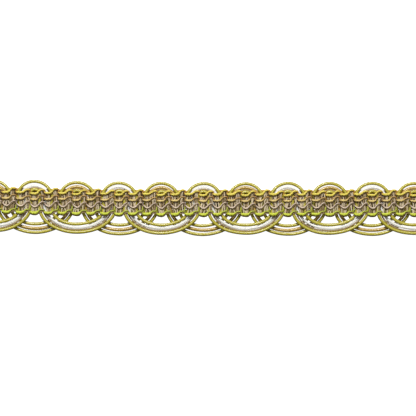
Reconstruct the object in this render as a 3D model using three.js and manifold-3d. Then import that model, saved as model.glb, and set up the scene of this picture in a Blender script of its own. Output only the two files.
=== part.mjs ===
// Gimp braid trim: a cut length lying face up on a flat surface, in millimetres.
// X runs along the braid. Y runs across it: the small arches stand out at +Y and the wide scallops at -Y.
// Z is up from the surface. Four crocheted chains run along the braid. Two sets of three gimp cords wave
// across it: each cord makes an arch above the chains, passes down between their front and back yarns, makes
// a scallop below them and comes up again. The back set is half a repeat along from the front set, and under it.

import * as THREE from "three";
import { mergeVertices } from "three/addons/utils/BufferGeometryUtils.js";
import Module from "manifold-3d";

const wasm = await Module();
wasm.setup();

// Lengths along the braid. It is cut on an arch line at each end.
const STITCH = 5.05;
const STITCHES_PER_ARCH = 3;
const ARCH_PITCH = STITCH * STITCHES_PER_ARCH;
const ARCH_PITCHES = 11;
const LENGTH = ARCH_PITCHES * ARCH_PITCH;
const LEFT_END = -LENGTH / 2;

// Levels above the surface. Pieces keep a gap of GAP where they cross.
const GAP = 0.3;
const CORD_DIAMETER = 0.95;
const BACK_YARN = { bottom: 0, top: 0.3, width: 0.9 };
const BACK_CORD_LYING = CORD_DIAMETER / 2;
const BACK_CORD_IN_BAND = BACK_YARN.top + GAP + CORD_DIAMETER / 2;
const FRONT_CORD_LEVEL = CORD_DIAMETER + GAP + CORD_DIAMETER / 2;
const FRONT_ARCH_LEVEL = FRONT_CORD_LEVEL - 0.5;
const FRONT_YARN = { bottom: FRONT_CORD_LEVEL + CORD_DIAMETER / 2 + GAP, top: 3.1 };

// Where a cord changes level on its way out of the band of chains, in Y before the braid's offset
const BAND_BOTTOM = { start: -1.3, end: -2.6 };
const BAND_TOP = { start: 6.4, end: 8.6 };

// The braid doesn't lie quite straight: from BOW_START on it bends up, by BOW_RISE at its left end.
// ACROSS_SHIFT moves all of it, so that its box is centred on the X axis.
const BOW_START = -5;
const BOW_RISE = 1;
const ACROSS_SHIFT = -0.4;

// One row for each gimp cord. Its arch is the upper half of an ellipse about an arch line, and its scallop
// the lower half of an ellipse about the line midway between two arches, each with a half width. The crown,
// the foot and the spring lines, where the half ellipses meet the leg between them, are places in Y.
const OLIVE = 0xbdb452;
const SILVER = 0xded9c8;
const ANTIQUE_GOLD = 0xb38f4e;
const CORDS = [
  {
    name: "back_cord_outer", set: "back", colour: OLIVE,
    archHalf: 1.6, crown: 6.05, archSpring: 4.6,
    scallopHalf: 13.55, scallopSpring: 0.7, foot: -9.2,
  },
  {
    name: "back_cord_gold", set: "back", colour: ANTIQUE_GOLD,
    archHalf: 4.85, crown: 7.4, archSpring: 3.3,
    scallopHalf: 11.95, scallopSpring: 1.1, foot: -7.7,
  },
  {
    name: "back_cord_inner", set: "back", colour: OLIVE,
    archHalf: 6.15, crown: 9, archSpring: 3.3,
    scallopHalf: 9.1, scallopSpring: -0.6, foot: -6,
  },
  {
    name: "front_cord_outer", set: "front", colour: OLIVE,
    archHalf: 1.6, crown: 6.15, archSpring: 4.6,
    scallopHalf: 13.55, scallopSpring: 0, foot: -8.85,
  },
  {
    name: "front_cord_silver", set: "front", colour: SILVER,
    archHalf: 4.85, crown: 7.6, archSpring: 3.4,
    scallopHalf: 11.95, scallopSpring: 1.1, foot: -7.3,
  },
  {
    name: "front_cord_inner", set: "front", colour: OLIVE,
    archHalf: 6.15, crown: 9.1, archSpring: 3.4,
    scallopHalf: 9.1, scallopSpring: -0.6, foot: -5.9,
  },
];

// One row for each chain: its line in Y, and how far its front yarn reaches above and below that line
const CHAINS = [
  { name: "chain_gold", y: 5.6, above: 1.1, below: 0.9, colour: 0xcdb04f },
  { name: "chain_tan", y: 3.4, above: 0.85, below: 0.9, colour: 0xc4a468 },
  { name: "chain_mauve", y: 1.05, above: 0.95, below: 0.95, colour: 0xb59d86 },
  { name: "chain_lime", y: -1.35, above: 0.9, below: 1.1, colour: 0xaeb33c },
];

// Within a stitch the front yarn lies low, climbs from riseStart to riseEnd and drops back to low by dropEnd,
// as shares of the stitch from an arch line.
const STITCH_SHAPE = { riseStart: 0.11, riseEnd: 0.63, dropEnd: 0.69 };
const WAIST = 0.45; // the share of its reach that an edge keeps where the yarn lies at the other edge

// A chain's back yarn is straight and a little above its line. One loop in each arch pitch, between the legs
// of the two sets, joins it to the front yarn and is sunk into both.
const BACK_YARN_ABOVE_LINE = 0.5;
const LOOP = { along: 1.05, across: 0.8, aboveLine: 0.1, sunk: 0.1 };

// The fineness of a cord's faces: the sides of its section, and the steps of half a wave
const CORD_SIDES = 6;
const ARCH_STEPS = 3;
const SCALLOP_STEPS = 5;
const HALF_WAVE_STEPS = ARCH_STEPS + 1 + SCALLOP_STEPS;

// How far the braid is moved across at a place along it
function offsetAt(x) {
  const share = Math.max(0, BOW_START - x) / (BOW_START - LEFT_END);
  return ACROSS_SHIFT + BOW_RISE * share ** 2;
}

// How far a place across the braid is out of the band, from 0 at the zone's start to 1 at its end
function outOf(zone, across) {
  return THREE.MathUtils.smoothstep((across - zone.start) / (zone.end - zone.start), 0, 1);
}

// A cord's level above the surface, by its place across the braid before the offset
function levelAt(set, across) {
  const outAtTop = outOf(BAND_TOP, across);
  if (set === "front") return THREE.MathUtils.lerp(FRONT_CORD_LEVEL, FRONT_ARCH_LEVEL, outAtTop);
  const outOfBand = Math.max(outAtTop, outOf(BAND_BOTTOM, across));
  return THREE.MathUtils.lerp(BACK_CORD_IN_BAND, BACK_CORD_LYING, outOfBand);
}

// How far round its quarter ellipse a scallop is after some of its steps. The first ends where the cord starts
// to leave the band, and the others are equal.
function scallopTurn(cord, step) {
  const leaving = Math.asin((cord.scallopSpring - BAND_BOTTOM.start) / (cord.scallopSpring - cord.foot));
  if (step < 1) return leaving * step;
  return THREE.MathUtils.lerp(leaving, Math.PI / 2, (step - 1) / (SCALLOP_STEPS - 1));
}

// A point on half a wave, from an arch's crown at step 0 to the next scallop's foot at HALF_WAVE_STEPS, as its
// distance along from the arch line and its place across. The leg is the one step between arch and scallop.
function halfWave(cord, step) {
  if (step <= ARCH_STEPS) {
    const turn = (step / ARCH_STEPS) * (Math.PI / 2);
    return {
      along: cord.archHalf * Math.sin(turn),
      across: cord.archSpring + (cord.crown - cord.archSpring) * Math.cos(turn),
    };
  }
  if (step < ARCH_STEPS + 1) {
    const down = step - ARCH_STEPS;
    return {
      along: THREE.MathUtils.lerp(cord.archHalf, ARCH_PITCH - cord.scallopHalf, down),
      across: THREE.MathUtils.lerp(cord.archSpring, cord.scallopSpring, down),
    };
  }
  const turn = scallopTurn(cord, step - ARCH_STEPS - 1);
  return {
    along: ARCH_PITCH - cord.scallopHalf * Math.cos(turn),
    across: cord.scallopSpring - (cord.scallopSpring - cord.foot) * Math.sin(turn),
  };
}

// The centre line of one cord over the whole length. At the left end the back set is at an arch's crown, and
// the front set at a scallop's foot.
class CordLine extends THREE.Curve {
  constructor(cord) {
    super();
    this.cord = cord;
  }

  // Keeps the steps of the wave in place of steps of equal length
  getUtoTmapping(share) {
    return share;
  }

  getPoint(share, target = new THREE.Vector3()) {
    const half = Math.min(Math.floor(share * ARCH_PITCHES), ARCH_PITCHES - 1);
    const step = (share * ARCH_PITCHES - half) * HALF_WAVE_STEPS;
    const startsAtCrown = (half % 2 === 0) === (this.cord.set === "back");
    const wave = halfWave(this.cord, startsAtCrown ? step : HALF_WAVE_STEPS - step);
    const x = LEFT_END + half * ARCH_PITCH + (startsAtCrown ? wave.along : ARCH_PITCH - wave.along);
    return target.set(x, wave.across + offsetAt(x), levelAt(this.cord.set, wave.across));
  }
}

function cordGeometry(cord) {
  const section = new THREE.Shape().absarc(0, 0, CORD_DIAMETER / 2, 0, 2 * Math.PI);
  return new THREE.ExtrudeGeometry(section, {
    steps: ARCH_PITCHES * HALF_WAVE_STEPS,
    curveSegments: CORD_SIDES / 2, // a circle gets twice as many sides
    bevelEnabled: false,
    extrudePath: new CordLine(cord),
  });
}

// A closed outline in plan from its lower and its upper edge, both running along the braid
function outlineOf(lowerEdge, upperEdge) {
  const points = [...lowerEdge, ...upperEdge.reverse()];
  return new THREE.Shape(points.map(([x, y]) => new THREE.Vector2(x, y + offsetAt(x))));
}

// One edge of a chain's front yarn, which is at low or at high across the braid
function frontYarnEdge(low, high) {
  const edge = [[LEFT_END, low]];
  for (let stitch = 0; stitch < ARCH_PITCHES * STITCHES_PER_ARCH; stitch += 1) {
    edge.push([LEFT_END + (stitch + STITCH_SHAPE.riseStart) * STITCH, low]);
    edge.push([LEFT_END + (stitch + STITCH_SHAPE.riseEnd) * STITCH, high]);
    edge.push([LEFT_END + (stitch + STITCH_SHAPE.dropEnd) * STITCH, low]);
  }
  edge.push([-LEFT_END, low]);
  return edge;
}

function frontYarnOutline({ y, above, below }) {
  return outlineOf(frontYarnEdge(y - below, y - WAIST * below), frontYarnEdge(y + WAIST * above, y + above));
}

function backYarnOutline(chain) {
  const middle = chain.y + BACK_YARN_ABOVE_LINE;
  const edge = (y) => Array.from({ length: ARCH_PITCHES + 1 }, (_, arch) => [LEFT_END + arch * ARCH_PITCH, y]);
  return outlineOf(edge(middle - BACK_YARN.width / 2), edge(middle + BACK_YARN.width / 2));
}

function slab(outline, { bottom, top }) {
  const plate = new THREE.ExtrudeGeometry(outline, { depth: top - bottom, bevelEnabled: false });
  return plate.translate(0, 0, bottom);
}

function loopGeometry(chain, arch) {
  const x = LEFT_END + (arch + 0.5) * ARCH_PITCH;
  const height = FRONT_YARN.top - BACK_YARN.bottom - 2 * LOOP.sunk;
  return new THREE.BoxGeometry(LOOP.along, LOOP.across, height).translate(
    x,
    chain.y + LOOP.aboveLine + offsetAt(x),
    (FRONT_YARN.top + BACK_YARN.bottom) / 2,
  );
}

function solidOf(geometry) {
  const bare = geometry.clone();
  bare.deleteAttribute("normal");
  bare.deleteAttribute("uv");
  const merged = mergeVertices(bare);
  const vertProperties = merged.attributes.position.array;
  const triVerts = new Uint32Array(merged.index.array);
  return new wasm.Manifold(new wasm.Mesh({ numProp: 3, vertProperties, triVerts }));
}

function geometryOf(solid) {
  const { vertProperties, triVerts } = solid.getMesh();
  return new THREE.BufferGeometry()
    .setAttribute("position", new THREE.BufferAttribute(vertProperties, 3))
    .setIndex(new THREE.BufferAttribute(triVerts, 1))
    .toNonIndexed();
}

function chainGeometry(chain) {
  const frontYarn = slab(frontYarnOutline(chain), FRONT_YARN);
  const backYarn = slab(backYarnOutline(chain), BACK_YARN);
  const loops = Array.from({ length: ARCH_PITCHES }, (_, arch) => loopGeometry(chain, arch));
  return geometryOf([frontYarn, backYarn, ...loops].map(solidOf).reduce((whole, piece) => whole.add(piece)));
}

function namedMesh({ name, colour }, geometry, roughness) {
  geometry.computeVertexNormals();
  const material = new THREE.MeshStandardMaterial({ color: colour, roughness, metalness: 0 });
  const mesh = new THREE.Mesh(geometry, material);
  mesh.name = name;
  return mesh;
}

const braid = new THREE.Group();
CORDS.forEach((cord) => braid.add(namedMesh(cord, cordGeometry(cord), 0.45)));
CHAINS.forEach((chain) => braid.add(namedMesh(chain, chainGeometry(chain), 0.8)));

export default braid;
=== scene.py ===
"""Gimp braid trim: a cut length of braid, lying face up on a pale floor.

Four crocheted chains run along the braid and hold two sets of waving gimp cords, with thin yarns between them.
The tables are in millimetres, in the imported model's frame: X along the braid, Y across it towards the small
arches, Z up out of its face. Places in Y are given before the braid's offset, which offset_at adds.
"""

import math
from collections import namedtuple

import bpy
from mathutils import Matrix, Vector, noise


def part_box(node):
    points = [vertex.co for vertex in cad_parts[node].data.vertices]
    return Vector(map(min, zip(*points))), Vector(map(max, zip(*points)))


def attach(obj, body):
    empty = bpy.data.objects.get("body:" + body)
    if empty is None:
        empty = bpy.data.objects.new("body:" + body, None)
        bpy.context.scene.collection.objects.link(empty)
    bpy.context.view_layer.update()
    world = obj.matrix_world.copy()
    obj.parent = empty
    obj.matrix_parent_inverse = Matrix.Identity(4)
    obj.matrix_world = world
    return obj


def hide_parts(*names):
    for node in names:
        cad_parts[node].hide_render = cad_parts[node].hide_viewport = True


bl_info = {
    "name": "Gimp braid trim",
    "version": (1, 0, 0),
    "blender": (4, 5, 0),
    "location": "View3D > Sidebar > Braid",
    "description": "Builds a cut length of gimp braid from its cords, chains and ground yarns",
    "category": "Object",
}

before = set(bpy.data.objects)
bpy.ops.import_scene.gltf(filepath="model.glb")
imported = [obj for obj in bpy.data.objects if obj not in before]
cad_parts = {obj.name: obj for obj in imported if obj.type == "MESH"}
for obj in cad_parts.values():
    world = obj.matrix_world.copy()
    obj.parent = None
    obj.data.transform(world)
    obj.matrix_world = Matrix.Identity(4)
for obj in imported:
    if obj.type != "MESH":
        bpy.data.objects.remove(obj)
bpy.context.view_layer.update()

MM = 0.001
ARCH_PITCHES = 11
STITCHES_PER_ARCH = 3
LEFT_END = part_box("chain_tan")[0].x / MM
RIGHT_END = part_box("chain_tan")[1].x / MM
ARCH_PITCH = (RIGHT_END - LEFT_END) / ARCH_PITCHES
STITCH = ARCH_PITCH / STITCHES_PER_ARCH

# The braid doesn't lie quite straight: from BOW_START on it bends up, by BOW_RISE at its left end.
ACROSS_SHIFT = -0.4
BOW_START = -5
BOW_RISE = 1

# Levels of the cords' centre lines above the floor outside the band, and where across the braid the band ends
BACK_LYING = 0.585
FRONT_ARCH, FRONT_SCALLOP = 1.25, 1.755
BAND_TOP = (6.4, 8.6)
BAND_BOTTOM = (-1.3, -2.6)

# How much a cord strays from its even wave and over what length, how far its scallops and its arches lean to the
# left, and how far the legs of the inner cords are drawn in
STRAY = 0.16
STRAY_LENGTH = 8
LEAN = 0.3
ARCH_LEAN = 0.15
PINCH = 0.3

# How far apart the silver cord's three strands lie, and the share of that where the cord runs level, what its rise
# adds to the share, and how many times the stray adds to it
STRANDS_APART = 0.37
LEVEL_SHARE, RISE_SHARE, STRAY_SHARE = 0.73, 0.26, 2

# Points along a quarter of an arch, a leg, and a quarter of a scallop
ARCH_STEPS, LEG_STEPS, SCALLOP_STEPS = 24, 16, 32

# Each kind of yarn reads its strays from a seed of its own. The gimp cords have 1 to 6, in the order of CORDS.
TAUPE_SEED, BROWN_SEED = 7, 8
CHAIN_SEED, BACK_YARN_SEED, STRAND_SEED, FILLER_SEED = 20, 30, 60, 80

# Radii of the yarns that no size below sets, how flat those of the back are pressed, and the level they lie at
BACK_YARN, BACK_YARN_FLATNESS = 0.47, 0.6
FILLER_YARN, FILLER_FLATNESS = 0.56, 0.45
BINDING_YARN, SPUR_YARN = 0.35, 0.27
BACK_LEVEL = 0.3

# One turn of the plies in a chain's yarn and in a thin yarn, how deep the groove between the plies is as a share of
# the radius, and how close together the rings of a plied yarn's mesh stand
CHAIN_PLY, THIN_PLY = 2.0, 1.8
PLY_GROOVE = 0.2
PLY_STEP = 0.12

WRAP_PITCH = 0.22  # from one wrapping thread of a gimp cord to the next, drawn coarser than real so that it shows
CORD_GIRTH = 3  # about the way round a gimp cord, in which a wrapping thread moves on by one pitch

# One row for each waving cord: its level in the band, half ellipses for its arch and its scallop with a leg between
# them, and how much further right the rising side of its scallop stands. "Outer" and "inner" are as in the scallops.
Cord = namedtuple("Cord", "name node set in_band arch_half crown arch_spring scallop_half scallop_spring foot skew")
CORDS = [
    Cord("back_outer", "back_cord_outer", "back", 1.2, 1.6, 5.95, 4.6, 13.55, 0.7, -9.35, 0),
    Cord("back_gold", "back_cord_gold", "back", 0.95, 4.85, 7.4, 3.3, 12.25, 1.1, -7.9, 0),
    Cord("back_inner", "back_cord_inner", "back", 1.1, 6.15, 8.9, 3.3, 8.75, -0.6, -6.25, 0),
    Cord("front_outer", "front_cord_outer", "front", 1.75, 1.6, 6.1, 4.6, 13.55, 0.0, -9.0, 0),
    Cord("front_silver", "front_cord_silver", "front", 1.45, 4.85, 7.5, 3.4, 11.95, 1.1, -7.3, 0),
    Cord("front_inner", "front_cord_inner", "front", 1.75, 6.15, 8.98, 3.4, 9.1, -0.6, -6.02, 0.35),
]
TAUPE = Cord("front_taupe", None, "front", 1.6, 3.0, 6.7, 4.4, 12.75, 0.9, -8.2, 0)
BROWN = Cord("back_brown", None, "back", 0.9, 3.0, 6.62, 4.4, 12.5, 0.9, -8.25, 0)

# A chain's front yarn within one stitch, as (along, across, up, thickness) from the left end of the stitch's flat
# part. It runs flat, climbs to a hump, dives at the hump's right end and comes back under it to the next flat.
# For the three stitches from an arch line on, flat_moves and hump_moves say how much further up the braid each lies.
Chain = namedtuple("Chain", "name node back_yarn flat_moves hump_moves stitch_knots")
CHAINS = [
    Chain("gold", "chain_gold", 6.1, (-0.28, 0, 0.05), (0.05, 0.42, 0), [
        (-0.2, 5.25, 2.5, 0.5), (0.15, 5.03, 2.86, 0.8), (0.8, 4.93, 2.98, 0.96), (1.75, 4.95, 2.95, 0.95),
        (2.4, 5.18, 2.88, 0.85), (3.0, 5.65, 2.84, 0.82), (3.5, 6.0, 2.82, 0.86), (4.1, 6.12, 2.8, 0.86),
        (4.65, 6.02, 2.7, 0.76), (5.0, 5.72, 2.5, 0.55),
    ]),
    Chain("tan", "chain_tan", 3.9, (-0.2, 0, 0.03), (0.2, 0.12, -0.2), [
        (-0.2, 3.05, 2.5, 0.45), (0.15, 2.87, 2.84, 0.66), (0.8, 2.76, 2.96, 0.82), (1.75, 2.77, 2.94, 0.82),
        (2.35, 2.98, 2.84, 0.68), (2.9, 3.5, 2.72, 0.56), (3.45, 3.88, 2.68, 0.54), (4.15, 4.0, 2.68, 0.54),
        (4.7, 3.9, 2.6, 0.5), (5.0, 3.5, 2.5, 0.45),
    ]),
    Chain("mauve", "chain_mauve", 1.55, (-0.1, 0.05, 0.05), (0, 0.2, 0.05), [
        (-0.15, 1.12, 2.5, 0.42), (0.2, 0.86, 2.74, 0.52), (0.75, 0.36, 2.86, 0.6), (1.4, 0.1, 2.9, 0.62),
        (2.05, 0.22, 2.88, 0.6), (2.7, 0.75, 2.82, 0.54), (3.4, 1.42, 2.8, 0.52), (4.1, 1.8, 2.8, 0.54),
        (4.6, 1.72, 2.66, 0.5), (4.85, 1.42, 2.48, 0.42),
    ]),
    Chain("lime", "chain_lime", -0.85, (-0.1, 0, 0), (0, 0, 0), [
        (-0.2, -1.72, 2.6, 0.62), (0.15, -1.98, 2.88, 1.0), (0.8, -2.16, 2.98, 1.2), (1.6, -2.2, 2.98, 1.24),
        (2.25, -2.02, 2.88, 1.05), (2.75, -1.6, 2.74, 0.8), (3.25, -1.22, 2.7, 0.68), (4.0, -1.08, 2.7, 0.66),
        (4.6, -1.1, 2.64, 0.66), (4.95, -1.35, 2.5, 0.55),
    ]),
]
FIRST_FLAT = -0.31  # where the first stitch's flat part starts, as a share of a stitch from the left end

# The brown yarn under a chain's front yarn, which also serves as painted shadow along the chain's lower side:
# how far along, across and down from it, and its thickness
UNDER_ALONG, UNDER_ACROSS, UNDER_DOWN, UNDER_THICKNESS = 0.12, -0.36, -0.32, 0.5
LIME_UNDER_ACROSS = -0.66

FILLERS = [5.4, 4.75, 3.2, 2.5, 0.85, 0.15, -1.45]  # where the back's fillers lie across the braid


def srgb(colour):
    """A hex colour as linear red, green and blue."""
    shares = [int(colour[i : i + 2], 16) / 255 for i in (1, 3, 5)]
    return tuple(s / 12.92 if s <= 0.04045 else ((s + 0.055) / 1.055) ** 2.4 for s in shares)


def mix(a, b, share):
    return a + (b - a) * share


def ease(share):
    """From 0 to 1 with a level start and end."""
    share = min(max(share, 0), 1)
    return share * share * (3 - 2 * share)


def offset_at(x):
    """How far the braid is moved across at a place along it."""
    share = max(0, BOW_START - x) / (BOW_START - LEFT_END)
    return ACROSS_SHIFT + BOW_RISE * share**2


def out_of(zone, across):
    return ease((across - zone[0]) / (zone[1] - zone[0]))


def level_at(cord, across):
    """A cord's level above the floor at a place across the braid."""
    arch, scallop = (FRONT_ARCH, FRONT_SCALLOP) if cord.set == "front" else (BACK_LYING, BACK_LYING)
    level = mix(cord.in_band, arch, out_of(BAND_TOP, across))
    return mix(level, scallop, out_of(BAND_BOTTOM, across))


def half_wave(cord):
    """From an arch's crown to the next scallop's foot, as (along from the arch line, across)."""
    points = []
    for i in range(ARCH_STEPS):
        turn = i / ARCH_STEPS * math.pi / 2
        points.append((cord.arch_half * math.sin(turn), mix(cord.arch_spring, cord.crown, math.cos(turn))))
    for i in range(LEG_STEPS):
        share = i / LEG_STEPS
        along = mix(cord.arch_half, ARCH_PITCH - cord.scallop_half, ease(share))
        pinch = PINCH * math.sin(math.pi * share) ** 2 if "inner" in cord.name else 0
        points.append((along - pinch, mix(cord.arch_spring, cord.scallop_spring, share)))
    for i in range(SCALLOP_STEPS + 1):
        turn = i / SCALLOP_STEPS * math.pi / 2
        along = ARCH_PITCH - cord.scallop_half * math.cos(turn)
        points.append((along, mix(cord.scallop_spring, cord.foot, math.sin(turn))))
    return points


def stray(x, seed):
    """A smooth small shift that depends on the place along the braid, the same in every run."""
    return STRAY * noise.noise(Vector((x / STRAY_LENGTH, seed, 0.5)))


def cord_line(cord, seed):
    """A cord's centre line from one cut end to the other."""
    line = []
    for pitch in range(ARCH_PITCHES):
        falling = (pitch % 2 == 0) == (cord.set == "back")
        half = half_wave(cord) if falling else half_wave(cord)[::-1]
        for along, across in half[:-1] if pitch < ARCH_PITCHES - 1 else half:
            x = LEFT_END + pitch * ARCH_PITCH + (along if falling else ARCH_PITCH - along)
            x -= LEAN * ease(-across / 8) + ARCH_LEAN * ease((across - 4) / 3)
            if not falling:
                x += cord.skew * ease((across - cord.foot) / 2) * ease((2 - across) / 2)
            place = Vector((x + stray(x, seed), across + offset_at(x) + stray(x, seed + 50), level_at(cord, across)))
            line.append(place)
    return [place for place in line if LEFT_END <= place.x <= RIGHT_END]


def beside(line, seed, number):
    """One of three strands that lie side by side along a line, numbered -1, 0 and 1 from its right side."""
    line = evenly(line, 0.4)
    strand = []
    for before, place, after in zip([line[0], *line], line, [*line[1:], line[-1]]):
        ahead = (after - before).normalized()
        share = LEVEL_SHARE + RISE_SHARE * ahead.y + STRAY_SHARE * stray(2 * place.x, seed)
        apart = number * STRANDS_APART * share
        strand.append(place + Vector((-ahead.y * apart, ahead.x * apart, 0.1 * (number == 0))))
    return strand


def smooth_line(knots, steps=5):
    """A smooth line through all the knots."""
    line = []
    ends = [knots[0] * 2 - knots[1], *knots, knots[-1] * 2 - knots[-2]]
    for a, b, c, d in zip(ends, ends[1:], ends[2:], ends[3:]):
        for i in range(steps):
            t = i / steps
            bend = (2 * a - 5 * b + 4 * c - d) * t**2 + (3 * b - a - 3 * c + d) * t**3
            line.append(0.5 * (2 * b + (c - a) * t + bend))
    return [*line, knots[-1]]


def evenly(line, spacing):
    """The same line with its points the same step apart, close to spacing. A fourth number is the thickness."""
    steps = [(b - a).length for a, b in zip(line, line[1:])]
    count = max(2, round(sum(steps) / spacing))
    step = sum(steps) / count
    points, walked, i = [line[0]], 0.0, 0
    for k in range(1, count):
        while walked + steps[i] < k * step:
            walked += steps[i]
            i += 1
        points.append(line[i].lerp(line[i + 1], (k * step - walked) / steps[i]))
    return [*points, line[-1]]


def only(*pieces):
    """Selects these pieces and nothing else, and makes the first one active."""
    bpy.ops.object.select_all(action="DESELECT")
    for piece in pieces:
        piece.select_set(True)
    bpy.context.view_layer.objects.active = pieces[0]


def section(radius, sides, plies=1, groove=0.0, flatness=1.0):
    """The outline of a yarn's section, with a lobe for each ply. It runs clockwise, so that faces point out."""
    outline = bpy.data.curves.new("section", "CURVE")
    spline = outline.splines.new("POLY")
    spline.points.add(sides - 1)
    for i, point in enumerate(spline.points):
        turn = -2 * math.pi * i / sides
        reach = radius * MM * (1 - groove * (0.5 - 0.5 * math.cos(plies * turn)))
        point.co = (reach * math.cos(turn), reach * math.sin(turn) * flatness, 0, 1)
    spline.use_cyclic_u = True
    piece = bpy.data.objects.new("section", outline)
    bpy.context.scene.collection.objects.link(piece)
    return piece


def yarn(name, lines, outline, spacing, ply_length=None):
    """One mesh of round or plied yarns along lines. Its UV map is in mm, along the yarn and around it."""
    curve = bpy.data.curves.new(name, "CURVE")
    curve.dimensions = "3D"
    curve.twist_mode = "Z_UP"
    curve.bevel_mode = "OBJECT"
    curve.bevel_object = outline
    curve.use_fill_caps = True
    lines = [evenly(line, spacing) for line in lines]
    for line in lines:
        spline = curve.splines.new("POLY")
        spline.points.add(len(line) - 1)
        for k, (point, place) in enumerate(zip(spline.points, line)):
            point.co = (*(place.xyz * MM), 1)
            if len(place) == 4:
                point.radius = place.w
            point.tilt = 2 * math.pi * (k * spacing / ply_length % 1) if ply_length else 0
    piece = bpy.data.objects.new(name, curve)
    bpy.context.scene.collection.objects.link(piece)
    only(piece)
    bpy.ops.object.convert(target="MESH")
    bpy.ops.object.mode_set(mode="EDIT")
    bpy.ops.mesh.select_all(action="SELECT")
    bpy.ops.mesh.remove_doubles(threshold=1e-7)
    bpy.ops.object.mode_set(mode="OBJECT")
    bpy.ops.object.shade_smooth()
    length = spacing * sum(len(line) - 1 for line in lines) / len(lines)
    girth = 2 * math.pi * max(point.co.x for point in outline.data.splines[0].points) / MM
    for corner in piece.data.uv_layers[0].data:
        corner.uv = (corner.uv.x * length, corner.uv.y * girth)
    bpy.data.objects.remove(outline)
    return piece


def joined(name, pieces):
    """The pieces as one, which takes the name."""
    only(*pieces)
    bpy.ops.object.join()
    pieces[0].name = pieces[0].data.name = name
    return pieces[0]


def finished(piece, finish, slot, *nodes):
    """Gives a piece its material and its body, and hides the CAD nodes that it stands for. Its record slot is not
    used.
    """
    piece.data.materials.clear()
    piece.data.materials.append(finish)
    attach(piece, "root")
    if nodes:
        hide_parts(*nodes)
    return piece


def add_node(material, kind, settings=None, links=None):
    """Adds a node. Its settings go by input or property, and its links by input, each by name or number."""
    node = material.node_tree.nodes.new(kind)
    for key, value in (settings or {}).items():
        if isinstance(key, int) or key in node.inputs:
            node.inputs[key].default_value = value
        else:
            setattr(node, key, value)
    for key, output in (links or {}).items():
        material.node_tree.links.new(output, node.inputs[key])
    return node


def new_material(name):
    material = bpy.data.materials.new(name)
    material.use_nodes = True
    material.node_tree.nodes.clear()
    return material


def close_material(material, surface):
    output = add_node(material, "ShaderNodeOutputMaterial")
    material.node_tree.links.new(surface.outputs["BSDF"], output.inputs["Surface"])
    return material


def wrapped_viscose(name, light, dark, roughness=0.28):
    """Viscose thread wound closely round a core: fine grooves across the cord, darkened with painted shade, and
    because the threads run round it a bright narrow line of light along it."""
    material = new_material(name)
    uv = add_node(material, "ShaderNodeUVMap", {"uv_map": "UVMap"})
    turned = add_node(
        material, "ShaderNodeMapping", {"Rotation": (0, 0, math.atan(WRAP_PITCH / CORD_GIRTH))},
        {"Vector": uv.outputs["UV"]},
    )
    # A wave texture's bands are 2 pi / 20 apart at scale 1.
    wraps = add_node(
        material, "ShaderNodeTexWave",
        {"bands_direction": "X", "Scale": 2 * math.pi / 20 / WRAP_PITCH, "Distortion": 0.6, "Detail": 1.0},
        {"Vector": turned.outputs["Vector"]},
    )
    # Threads differ in tone from one to the next, and slowly round the cord.
    threads = add_node(
        material, "ShaderNodeMapping", {"Scale": (1 / WRAP_PITCH, 0.35, 1)}, {"Vector": uv.outputs["UV"]}
    )
    uneven = add_node(
        material, "ShaderNodeTexNoise", {"Scale": 1.0, "Detail": 3.0}, {"Vector": threads.outputs["Vector"]}
    )
    tone = add_node(
        material, "ShaderNodeMath", {"operation": "MULTIPLY"}, {0: wraps.outputs["Fac"], 1: uneven.outputs["Fac"]}
    )
    # Painted shade in the grooves: the dark colour shows where the wraps are low, mixed with the threads' own uneven
    # tone.
    ramp = add_node(material, "ShaderNodeValToRGB", links={"Fac": tone.outputs["Value"]})
    ramp.color_ramp.elements[0].color = (*dark, 1)
    ramp.color_ramp.elements[0].position = 0.0
    ramp.color_ramp.elements[1].color = (*light, 1)
    ramp.color_ramp.elements[1].position = 0.35
    bump = add_node(
        material, "ShaderNodeBump", {"Strength": 0.2, "Distance": 0.02 * MM}, {"Height": wraps.outputs["Fac"]}
    )
    along = add_node(material, "ShaderNodeTangent", {"direction_type": "UV_MAP", "uv_map": "UVMap"})
    surface = add_node(
        material, "ShaderNodeBsdfPrincipled",
        {"Roughness": roughness, "Specular IOR Level": 0.8, "Anisotropic": 0.9},
        {"Base Color": ramp.outputs["Color"], "Normal": bump.outputs["Normal"], "Tangent": along.outputs["Tangent"]},
    )
    return close_material(material, surface)


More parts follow.
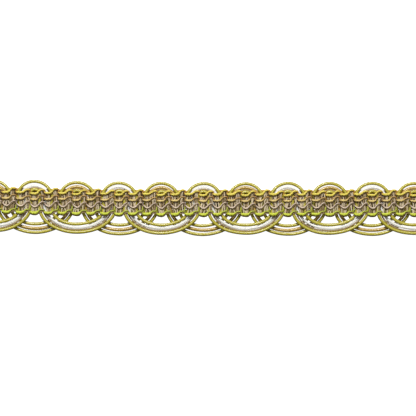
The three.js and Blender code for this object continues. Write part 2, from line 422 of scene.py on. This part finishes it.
def spun_yarn(name, light, dark, roughness=0.75, shade=None):
    """Plied viscose or cotton yarn: fibres along it, and a tone that varies. A chain's yarn turns to its shade
    where it dives into the braid, as painted shade that is darker the lower the yarn lies."""
    material = new_material(name)
    uv = add_node(material, "ShaderNodeUVMap", {"uv_map": "UVMap"})
    # Fibres show as streaks about 0.7 mm long and 0.16 mm apart, coarser than real so that they can be seen.
    along = add_node(material, "ShaderNodeMapping", {"Scale": (0.9, 4.0, 1)}, {"Vector": uv.outputs["UV"]})
    fibres = add_node(
        material, "ShaderNodeTexNoise", {"Scale": 1.6, "Detail": 4.0, "Roughness": 0.6},
        {"Vector": along.outputs["Vector"]},
    )
    ramp = add_node(material, "ShaderNodeValToRGB", links={"Fac": fibres.outputs["Fac"]})
    ramp.color_ramp.elements[0].color = (*dark, 1)
    ramp.color_ramp.elements[0].position = 0.3
    ramp.color_ramp.elements[1].color = (*light, 1)
    ramp.color_ramp.elements[1].position = 0.6
    colour = ramp.outputs["Color"]
    if shade:
        # Painted shade: below 2.75 mm above the floor the yarn is all in its shade colour, and above 3.2 mm it has
        # its full colour.
        place = add_node(material, "ShaderNodeTexCoord")
        height = add_node(material, "ShaderNodeSeparateXYZ", links={"Vector": place.outputs["Object"]})
        raised = add_node(
            material, "ShaderNodeMapRange", {"From Min": 2.75 * MM, "From Max": 3.2 * MM},
            {"Value": height.outputs["Z"]},
        )
        painted_shade_mix = add_node(
            material, "ShaderNodeMix", {"data_type": "RGBA", 6: (*shade, 1)},
            {0: raised.outputs["Result"], 7: colour},
        )
        colour = painted_shade_mix.outputs[2]
    bump = add_node(
        material, "ShaderNodeBump", {"Strength": 0.5, "Distance": 0.05 * MM}, {"Height": fibres.outputs["Fac"]}
    )
    surface = add_node(
        material, "ShaderNodeBsdfPrincipled",
        {"Roughness": roughness, "Specular IOR Level": 0.55, "Sheen Weight": 0.2, "Sheen Roughness": 0.5},
        {"Base Color": colour, "Normal": bump.outputs["Normal"]},
    )
    return close_material(material, surface)


def colour_of(name, default, text):
    return bpy.props.FloatVectorProperty(
        name=name, description=text, subtype="COLOR", size=3, min=0, max=1, default=srgb(default)
    )


class BraidSizes(bpy.types.PropertyGroup):
    """Thicknesses of the cords and yarns."""

    cord: bpy.props.FloatProperty(
        name="Gimp cord", description="Diameter of a gimp cord", default=1.16 * MM, unit="LENGTH", precision=5
    )
    silver_strand: bpy.props.FloatProperty(
        name="Silver strand", description="Diameter of each of the silver cord's three strands", default=0.52 * MM,
        unit="LENGTH", precision=5,
    )
    taupe: bpy.props.FloatProperty(
        name="Thin yarn", description="Diameter of the thin yarns beside the cords", default=0.65 * MM,
        unit="LENGTH", precision=5,
    )
    chain: bpy.props.FloatProperty(
        name="Chain yarn", description="Thickness of the chain yarns, as a share of each one's own",
        default=1, subtype="FACTOR", min=0.5, max=1.5,
    )
    ground: bpy.props.FloatProperty(
        name="Ground yarn", description="Diameter of the yarns between the chains", default=0.5 * MM,
        unit="LENGTH", precision=5,
    )


class BraidColours(bpy.types.PropertyGroup):
    """Colours of the cords and yarns."""

    olive: colour_of("Olive cord", "#bfb53a", "Threads of the olive gimp cords")
    # The groove colours are painted shade in the grooves between a cord's wrapping threads.
    olive_groove: colour_of("Olive groove", "#a3972c", "Grooves of the olive gimp cords")
    gold_cord: colour_of("Gold cord", "#c2a44e", "Threads of the antique gold gimp cord")
    gold_groove: colour_of("Gold groove", "#a08036", "Grooves of the antique gold gimp cord")
    silver: colour_of("Silver cord", "#f2f1ec", "Threads of the silver gimp cord")
    silver_groove: colour_of("Silver groove", "#dedcd2", "Grooves of the silver gimp cord")
    gold: colour_of("Gold yarn", "#ead856", "The chain along the top edge")
    tan: colour_of("Tan yarn", "#e6ca7a", "The second chain")
    mauve: colour_of("Mauve yarn", "#ecd6be", "The third chain")
    lime: colour_of("Lime yarn", "#ccd636", "The chain along the lower edge")
    # The four shade colours are painted shade, which a chain's yarn takes where it dives low into the braid.
    gold_shade: colour_of("Gold yarn in shade", "#c09032", "The top chain where it dives into the braid")
    tan_shade: colour_of("Tan yarn in shade", "#9a7038", "The second chain where it dives into the braid")
    mauve_shade: colour_of("Mauve yarn in shade", "#947c68", "The third chain where it dives into the braid")
    lime_shade: colour_of("Lime yarn in shade", "#8a8a2c", "The lower chain where it dives into the braid")
    taupe: colour_of("Taupe yarn", "#a68e62", "The thin yarns beside the cords and the dark ground yarns")
    cream: colour_of("Cream yarn", "#decdaa", "The light ground yarns")


def darker(colour, share):
    return tuple(share * c for c in colour)


def gimp_cord(context, cord, finish, slot):
    """One round gimp cord, in place of its CAD node."""
    outline = section(context.scene.braid_sizes.cord / MM / 2, 12)
    piece = yarn("gimp_" + cord.name, [cord_line(cord, CORDS.index(cord) + 1)], outline, 0.3)
    return finished(piece, finish, slot, cord.node)


def thin_yarn(context, name, cord, seed):
    """A thin yarn of two plies that waves along with the cords."""
    outline = section(context.scene.braid_sizes.taupe / MM / 2, 10, plies=2, groove=PLY_GROOVE)
    return yarn(name, [cord_line(cord, seed)], outline, PLY_STEP, ply_length=THIN_PLY)


class BRAID_OT_back_cords(bpy.types.Operator):
    """Makes the back set of gimp cords, two olive and one antique gold, and the thin brown yarn beside the gold"""

    bl_idname = "braid.back_cords"
    bl_label = "Back gimp cords"

    def execute(self, context):
        colours = context.scene.braid_colours
        olive = wrapped_viscose("Olive viscose gimp, back set", colours.olive, colours.olive_groove)
        gold = wrapped_viscose("Antique gold viscose gimp", colours.gold_cord, colours.gold_groove)
        gimp_cord(context, CORDS[0], olive, "olive_gimp")
        gimp_cord(context, CORDS[1], gold, "antique_gold_gimp")
        gimp_cord(context, CORDS[2], olive, "olive_gimp")
        brown = spun_yarn("Brown spun yarn", colours.taupe, darker(colours.taupe, 0.6))
        finished(thin_yarn(context, "yarn_back_brown", BROWN, BROWN_SEED), brown, "taupe_yarn")
        return {"FINISHED"}


class BRAID_OT_front_cords(bpy.types.Operator):
    """Makes the front set of gimp cords, two olive and one silver, and the thin taupe yarn beside the silver"""

    bl_idname = "braid.front_cords"
    bl_label = "Front gimp cords"

    def execute(self, context):
        colours = context.scene.braid_colours
        olive = wrapped_viscose("Olive viscose gimp, front set", colours.olive, colours.olive_groove)
        silver = wrapped_viscose("Silver viscose gimp", colours.silver, colours.silver_groove, 0.35)
        taupe = spun_yarn("Taupe spun yarn", colours.taupe, darker(colours.taupe, 0.6))
        gimp_cord(context, CORDS[3], olive, "olive_gimp")
        cord = CORDS[4]
        line = cord_line(cord, CORDS.index(cord) + 1)
        strands = [beside(line, STRAND_SEED, number) for number in (-1, 0, 1)]
        outline = section(context.scene.braid_sizes.silver_strand / MM / 2, 10)
        finished(yarn("gimp_front_silver", strands, outline, 0.3), silver, "silver_gimp", cord.node)
        gimp_cord(context, CORDS[5], olive, "olive_gimp")
        finished(thin_yarn(context, "yarn_front_taupe", TAUPE, TAUPE_SEED), taupe, "taupe_yarn")
        return {"FINISHED"}


def stitch_knots(chain, stitch):
    """The knots of one stitch of a chain, with its flat part and its hump moved as they lie."""
    knots = []
    for along, across, up, thickness in chain.stitch_knots:
        climbed = ease((along - 2.2) / 1.2)
        moves = chain.flat_moves[stitch % STITCHES_PER_ARCH], chain.hump_moves[stitch % STITCHES_PER_ARCH]
        knots.append((along, across + mix(*moves, climbed), up, thickness))
    return knots


def chain_line(chain, seed):
    """The front yarn of a chain from one cut end to the other."""
    knots = []
    for stitch in range(ARCH_PITCHES * STITCHES_PER_ARCH + 1):
        start = LEFT_END + (stitch + FIRST_FLAT) * STITCH
        for along, across, up, thickness in stitch_knots(chain, stitch):
            x = start + along
            strays = stray(4 * x, seed), stray(4 * x, seed + 50), stray(4 * x, seed + 90)
            knots.append(Vector((
                x + 0.7 * strays[0], across + offset_at(x) + 0.7 * strays[1], up, thickness * (1 + strays[2])
            )))
    line = smooth_line(knots)
    return [place for place in line if LEFT_END <= place.x <= RIGHT_END]


def under_line(chain, seed):
    """The brown yarn that lies under a chain's front yarn and shows along its lower side, where it also serves as
    painted shadow.
    """
    across = LIME_UNDER_ACROSS if chain.name == "lime" else UNDER_ACROSS
    line = chain_line(chain, seed)
    return [place + Vector((UNDER_ALONG, across, UNDER_DOWN, UNDER_THICKNESS - place.w)) for place in line]


def back_yarn_line(chain, seed):
    """The back yarn of a chain, which waves a little with the stitches."""
    line = []
    for i in range(ARCH_PITCHES * STITCHES_PER_ARCH * 6 + 1):
        x = LEFT_END + i * STITCH / 6
        across = chain.back_yarn + 0.12 * math.sin(2 * math.pi * i / 6) + stray(x, seed)
        line.append(Vector((x, across + offset_at(x), BACK_LEVEL)))
    return line


def binding_loop(chain, arch):
    """A loop that ties a chain's front yarn to its back yarn, under the hump midway between two arches."""
    x = LEFT_END + (arch + 0.5) * ARCH_PITCH
    hump = max(knot[1] for knot in stitch_knots(chain, 1))
    knots = [(-0.1, hump - 0.05, 2.55), (0.0, mix(hump, chain.back_yarn, 0.5), 1.6), (0.1, chain.back_yarn, 0.35)]
    return [Vector((x + dx, y + offset_at(x), z)) for dx, y, z in knots]


def spurs(chain):
    """The short upright strands at the right ends of the lime chain's humps, where no cord lies."""
    lines = []
    for stitch in range(ARCH_PITCHES * STITCHES_PER_ARCH):
        x = LEFT_END + (stitch + FIRST_FLAT) * STITCH + 4.75
        if stitch % STITCHES_PER_ARCH != 0 and x < RIGHT_END - 1:
            knots = [(-0.25, -1.15, 2.62), (0.0, -0.7, 2.78), (0.08, -0.1, 2.74), (0.12, 0.55, 2.5)]
            lines.append(smooth_line([Vector((x + dx, y + offset_at(x), z)) for dx, y, z in knots], 3))
    return lines


class BRAID_OT_chains(bpy.types.Operator):
    """Makes the four crocheted chains, each with its front yarn, back yarn and binding loops"""

    bl_idname = "braid.chains"
    bl_label = "Crocheted chains"

    def execute(self, context):
        colours = context.scene.braid_colours
        for number, chain in enumerate(CHAINS):
            radius = context.scene.braid_sizes.chain / 2
            colour = getattr(colours, chain.name)
            shade = getattr(colours, chain.name + "_shade")
            finish = spun_yarn(f"{chain.name.capitalize()} viscose yarn", colour, darker(colour, 0.75), 0.5, shade)
            front = yarn("front", [chain_line(chain, CHAIN_SEED + number)],
                         section(radius, 10, plies=2, groove=PLY_GROOVE), PLY_STEP, ply_length=CHAIN_PLY)
            back = yarn("back", [back_yarn_line(chain, BACK_YARN_SEED + number)],
                        section(BACK_YARN, 8, flatness=BACK_YARN_FLATNESS), 0.4)
            loops = yarn("loops", [binding_loop(chain, arch) for arch in range(ARCH_PITCHES)],
                         section(BINDING_YARN, 8), 0.3)
            parts = [front, back, loops]
            if chain.name == "lime":
                parts.append(yarn("spurs", spurs(chain), section(SPUR_YARN, 8), 0.25))
            finished(joined("chain_of_" + chain.name + "_yarn", parts), finish, chain.name + "_yarn", chain.node)
        return {"FINISHED"}


# The ground strands between two chains, row by row, as (place along the stitch, tone, share of the thickness)
GROUND_ROWS = [
    [(0.4, "brown", 0.9), (0.9, "brown", 1.0), (1.4, "cream", 1.0), (1.95, "brown", 0.9), (2.5, "brown", 0.8),
     (3.3, "brown", 0.9), (3.7, "cream", 0.75), (4.15, "brown", 0.9)],
    [(0.75, "cream", 0.9), (1.2, "brown", 0.8), (1.6, "cream", 1.0), (2.1, "brown", 0.9), (2.5, "cream", 0.7),
     (3.35, "brown", 0.9), (3.8, "brown", 0.9), (4.2, "cream", 0.7)],
    [(0.6, "cream", 1.0), (1.15, "cream", 0.9), (1.6, "brown", 0.9), (2.05, "cream", 1.0), (2.55, "brown", 0.7),
     (3.25, "brown", 1.0), (3.6, "cream", 0.8), (4.05, "brown", 0.9)],
]
GROUND_LEVELS = {"cream": 2.32, "brown": 2.2}
TONE_SWAP = 0.035  # where a strand strays by more than this it takes the other tone
LEG_PLACES = [(3.15, 5.05), (2.65,), (0.45, 5.05)]  # along each of the three stitches from an arch line on
LEG_ROOM = 0.35  # no ground strand stands closer to a leg than this
END_ROOM = 0.6  # nor closer than this to a cut end


def chain_across(chain, stitch, along):
    """Where a chain's front yarn lies across the braid at a place along one of its stitches."""
    knots = stitch_knots(chain, stitch)
    for before, after in zip(knots, knots[1:]):
        if before[0] <= along <= after[0]:
            return mix(before[1], after[1], (along - before[0]) / (after[0] - before[0]))
    return knots[-1][1]


def ground_strands(tone):
    """Short upright strands of one tone between neighbouring chains, beside the legs of the olive cords."""
    lines = []
    for row, (upper, lower) in enumerate(zip(CHAINS, CHAINS[1:])):
        for stitch in range(ARCH_PITCHES * STITCHES_PER_ARCH + 1):
            start = LEFT_END + (stitch + FIRST_FLAT) * STITCH
            legs = LEG_PLACES[stitch % STITCHES_PER_ARCH]
            for number, (along, strand_tone, share) in enumerate(GROUND_ROWS[row]):
                seed = 10 * (stitch * 9 + number) + row
                x = start + along + 1.5 * stray(1.7 * seed, 60)
                lean = 5 * stray(1.7 * seed, 70)
                if stray(1.7 * seed, 65) > TONE_SWAP:
                    strand_tone = "brown" if strand_tone == "cream" else "cream"
                if strand_tone != tone or not LEFT_END + END_ROOM < x < RIGHT_END - END_ROOM:
                    continue
                if min(abs(along - leg) for leg in legs) < LEG_ROOM:
                    continue
                top, bottom = chain_across(upper, stitch, along), chain_across(lower, stitch, along)
                level = GROUND_LEVELS[tone] + 2 * stray(1.7 * seed, 90)
                lines.append(smooth_line([
                    Vector((x - lean, top + offset_at(x), level, share * 0.85)),
                    Vector((x + 0.5 * lean, mix(top, bottom, 0.5) + offset_at(x), level + 0.06, share)),
                    Vector((x + lean, bottom + offset_at(x), level, share * 0.85)),
                ], 4))
    return lines


def filler_lines():
    """Flat yarns laid along the back between the chains, which close the ground."""
    lines = []
    for number, across in enumerate(FILLERS):
        line = []
        for i in range(ARCH_PITCHES * STITCHES_PER_ARCH * 6 + 1):
            x = LEFT_END + i * STITCH / 6
            wave = 0.1 * math.sin(2 * math.pi * (i / 6 + 0.5 * number)) + stray(x, FILLER_SEED + number)
            line.append(Vector((x, across + wave + offset_at(x), BACK_LEVEL)))
        lines.append(line)
    return lines


class BRAID_OT_ground(bpy.types.Operator):
    """Makes the yarns between and under the chains: upright strands in cream and brown, and flat fillers behind"""

    bl_idname = "braid.ground"
    bl_label = "Ground yarns"

    def execute(self, context):
        colours = context.scene.braid_colours
        radius = context.scene.braid_sizes.ground / MM / 2
        cream = spun_yarn("Cream spun yarn", colours.cream, darker(colours.cream, 0.7), 0.8)
        brown = spun_yarn("Brown filler yarn", colours.taupe, darker(colours.taupe, 0.6), 0.85)
        strands = yarn("ground_cream_strands", ground_strands("cream"), section(radius, 8), 0.3)
        dark_strands = yarn("ground_brown_strands", ground_strands("brown"), section(radius, 8), 0.3)
        under = [under_line(chain, CHAIN_SEED + number) for number, chain in enumerate(CHAINS)]
        # These brown yarns also serve as painted shadow along each chain's lower side.
        yarns_and_shadow_under_chains = yarn("ground_under_yarns", under, section(0.5, 8), 0.3)  # each place has its own thickness
        fillers = yarn("ground_fillers", filler_lines(), section(FILLER_YARN, 8, flatness=FILLER_FLATNESS), 0.4)
        finished(strands, cream, "cream_yarn")
        finished(dark_strands, brown, "taupe_yarn")
        finished(yarns_and_shadow_under_chains, brown, "taupe_yarn")
        finished(fillers, brown, "taupe_yarn")
        return {"FINISHED"}


# The photograph is 149.5 mm wide at the braid, with its middle at PHOTO_MIDDLE.
PHOTO_WIDTH = 149.5
PHOTO_MIDDLE = (-6.105, -0.274)
LENS, SENSOR = 135, 36
MID_LEVEL = 1.5  # the level in the braid that the camera's distance is measured from


def studio_light(name, place, size, energy):
    bpy.ops.object.light_add(type="AREA", location=place)
    lamp = bpy.context.object
    lamp.name = name
    lamp.data.size = size
    lamp.data.energy = energy
    lamp.rotation_euler = Vector(place).to_track_quat("Z", "Y").to_euler()
    return lamp


class BRAID_OT_stage(bpy.types.Operator):
    """Makes the pale floor, the soft studio light and the camera straight above the braid"""

    bl_idname = "braid.stage"
    bl_label = "Floor, light and camera"

    def execute(self, context):
        bpy.ops.object.select_all(action="DESELECT")
        bpy.ops.mesh.primitive_plane_add(size=4)
        floor = context.object
        floor.name = "floor"
        # Matt white paper, lit from behind as in a product photo: plain white with hardly a shadow on it
        white = new_material("White paper, evenly lit")
        surface = add_node(
            white, "ShaderNodeBsdfPrincipled",
            {"Base Color": (0.6, 0.6, 0.6, 1), "Roughness": 1.0, "Emission Color": (1, 1, 1, 1),
             "Emission Strength": 1.0},
        )
        floor.data.materials.append(close_material(white, surface))
        floor.visible_diffuse = False
        floor.visible_glossy = False

        studio_light("key_light", (-0.1, 0.8, 0.82), 0.32, 15.5)
        studio_light("top_light", (0, 0.05, 1.2), 0.4, 1.5)
        world = bpy.data.worlds.new("Studio")
        world.use_nodes = True
        world.node_tree.nodes["Background"].inputs["Color"].default_value = (1, 0.9, 0.62, 1)
        world.node_tree.nodes["Background"].inputs["Strength"].default_value = 0.07
        context.scene.world = world
        context.scene.view_settings.view_transform = "Standard"

        distance = PHOTO_WIDTH * LENS / SENSOR
        bpy.ops.object.camera_add(location=[c * MM for c in (*PHOTO_MIDDLE, distance + MID_LEVEL)])
        camera = context.object
        camera.data.lens = LENS
        camera.data.sensor_width = SENSOR
        camera.data.clip_start = 0.01
        context.scene.camera = camera
        return {"FINISHED"}


class BRAID_PT_panel(bpy.types.Panel):
    """Lists the braid's pieces, sizes and colours"""

    bl_idname = "BRAID_PT_panel"
    bl_label = "Gimp braid trim"
    bl_space_type = "VIEW_3D"
    bl_region_type = "UI"
    bl_category = "Braid"

    def draw(self, context):
        for operator in OPERATORS:
            self.layout.operator(operator.bl_idname)
        for group in (context.scene.braid_sizes, context.scene.braid_colours):
            for name in group.__annotations__:
                self.layout.prop(group, name)


OPERATORS = [BRAID_OT_back_cords, BRAID_OT_front_cords, BRAID_OT_ground, BRAID_OT_chains, BRAID_OT_stage]
CLASSES = [BraidSizes, BraidColours, *OPERATORS, BRAID_PT_panel]


def register():
    for each in CLASSES:
        bpy.utils.register_class(each)
    bpy.types.Scene.braid_sizes = bpy.props.PointerProperty(type=BraidSizes)
    bpy.types.Scene.braid_colours = bpy.props.PointerProperty(type=BraidColours)


def unregister():
    del bpy.types.Scene.braid_colours
    del bpy.types.Scene.braid_sizes
    for each in reversed(CLASSES):
        bpy.utils.unregister_class(each)


def main():
    register()
    bpy.ops.braid.back_cords()
    bpy.ops.braid.front_cords()
    bpy.ops.braid.ground()
    bpy.ops.braid.chains()
    bpy.ops.braid.stage()


if __name__ == "__main__":
    main()
